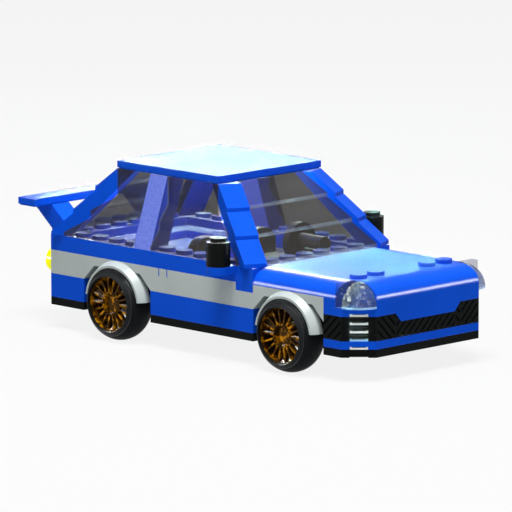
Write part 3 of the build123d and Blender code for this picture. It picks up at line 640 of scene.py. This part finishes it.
FLOOR_HALF = 4
WORLD_LIGHT = 0.3
sheet = bpy.data.meshes.new("floor_sheet")
bm = bmesh.new()
bmesh.ops.create_grid(bm, x_segments=1, y_segments=1, size=FLOOR_HALF)
bm.to_mesh(sheet)
bm.free()
sheet.materials.append(white_floor())
floor_sheet = bpy.data.objects.new("floor_sheet", sheet)
bpy.context.scene.collection.objects.link(floor_sheet)
world = bpy.data.worlds.new("studio")
world.use_nodes = True
world.node_tree.nodes["Background"].inputs["Color"].default_value = linear("#FFFFFF")
world.node_tree.nodes["Background"].inputs["Strength"].default_value = WORLD_LIGHT
bpy.context.scene.world = world

# Reflection cards
# Two bright cards behind the car, which only gloss shows and only the floor shades. The wide one whitens
# the top faces, most towards the tail, and the narrow one draws a line on the bonnet's near roll.
AIM = Vector((0.008, 0, 0.034))  # the middle of the car
BACK = Vector((0.6954, -0.6982, 0.1700)).normalized()  # from the car to the camera
CARD_AWAY = 0.6
SHEEN_WIDTH, SHEEN_HEIGHT = 0.3, 0.18
TAIL_END, NOSE_END = 0.737, 0.253  # along the card, where its white is at its most and at its least
TAIL_WHITE, NOSE_WHITE, CYAN_LIGHT = 2.9, 0.3, 2.0
ROLL_WIDTH, ROLL_HEIGHT, ROLL_LIGHT = 0.14, 0.08, 25
ROLL_AZIMUTH, ROLL_ELEVATION = radians(139.6), radians(25)
blockers = bpy.data.collections.new("sheen_blockers")
blockers.objects.link(floor_sheet)


def reflection_card(name, towards, width, height, light):
    """Hangs a card of one brightness in a direction from the car."""
    card = bpy.data.lights.new(name, "AREA")
    card.shape = "RECTANGLE"
    card.size, card.size_y = width, height
    card.energy = light * pi * width * height
    card.cycles.use_multiple_importance_sampling = False
    holder = bpy.data.objects.new(name, card)
    holder.location = AIM + CARD_AWAY * towards
    holder.rotation_euler = towards.to_track_quat("Z", "Y").to_euler()
    holder.visible_camera = False
    holder.visible_diffuse = False
    holder.visible_transmission = False
    bpy.context.scene.collection.objects.link(holder)
    holder.light_linking.blocker_collection = blockers
    return card


mirrored = Vector((-BACK.x, -BACK.y, BACK.z))
sheen_card = reflection_card("sheen_card", mirrored, SHEEN_WIDTH, SHEEN_HEIGHT, 1)
sheen_card.use_nodes = True
spot = add(sheen_card, "ShaderNodeNewGeometry").outputs["Parametric"]
along = add(sheen_card, "ShaderNodeSeparateXYZ", Vector=spot).outputs["X"]
fade = add(
    sheen_card, "ShaderNodeMapRange", {"interpolation_type": "SMOOTHSTEP"}, Value=along,
    _1=TAIL_END, _2=NOSE_END, _3=TAIL_WHITE, _4=NOSE_WHITE,
)
white = add(sheen_card, "ShaderNodeEmission", Strength=fade.outputs["Result"])
cyan = add(sheen_card, "ShaderNodeEmission", Color=linear("#85FFFF"), Strength=CYAN_LIGHT)
both = add(sheen_card, "ShaderNodeAddShader", _0=white.outputs[0], _1=cyan.outputs[0])
sheen_card.node_tree.links.new(both.outputs[0], sheen_card.node_tree.nodes["Light Output"].inputs["Surface"])
upward = Vector((cos(ROLL_ELEVATION), 0, sin(ROLL_ELEVATION)))
roll_way = Matrix.Rotation(ROLL_AZIMUTH, 3, "Z") @ upward
reflection_card("roll_card", roll_way, ROLL_WIDTH, ROLL_HEIGHT, ROLL_LIGHT)

# Lamps
# A softbox overhead gives the plain light, and two low ones at the camera's left and right only put glints
# on gloss.
LAMPS = [  # name, place (m), width and height (m), power (W)
    ("overhead", (0.22, -0.22, 1.15), (0.6, 0.6), 24.0),
    ("side_glint", (-1.17, -1.19, 0.29), (0.3, 0.5), 45.0),
    ("front_glint", (1.2, 1.19, 0.29), (0.3, 0.5), 45.0),
]
for name, place, size, power in LAMPS:
    lamp = bpy.data.lights.new(name, "AREA")
    lamp.shape = "RECTANGLE"
    lamp.size, lamp.size_y = size
    lamp.energy = power
    holder = bpy.data.objects.new(name, lamp)
    holder.location = place
    holder.rotation_euler = (AIM - Vector(place)).to_track_quat("-Z", "Y").to_euler()
    holder.visible_camera = False
    holder.visible_diffuse = name == "overhead"
    bpy.context.scene.collection.objects.link(holder)

# Cabin bulbs
# Two small bulbs under the roof, out of sight, which keep the cabin from going black behind its smoked
# glass.
BULB_POWER, BULB_RADIUS = 0.05, 4 * MM
for place in ((-0.034, 0, 0.053), (0.002, 0, 0.053)):
    bulb = bpy.data.lights.new("cabin", "POINT")
    bulb.energy = BULB_POWER
    bulb.shadow_soft_size = BULB_RADIUS
    holder = bpy.data.objects.new("cabin", bulb)
    holder.location = place
    holder.visible_camera = False
    holder.visible_glossy = False
    bpy.context.scene.collection.objects.link(holder)

# Camera
# A long lens at the photo's viewing angle, from the car's right front corner and a little above, fitted to
# the photo's stud grid. The shift only frames the car as the photo does.
CAMERA_AWAY = 1.975
camera = bpy.data.cameras.new("camera")
camera.sensor_width = 36.0
camera.lens = 419.7
camera.shift_x = -0.0277
camera.shift_y = -0.0271
holder = bpy.data.objects.new("camera", camera)
holder.location = AIM + CAMERA_AWAY * BACK
holder.rotation_euler = BACK.to_track_quat("Z", "Y").to_euler()
bpy.context.scene.collection.objects.link(holder)
bpy.context.scene.camera = holder
bpy.context.scene.view_settings.view_transform = "Standard"
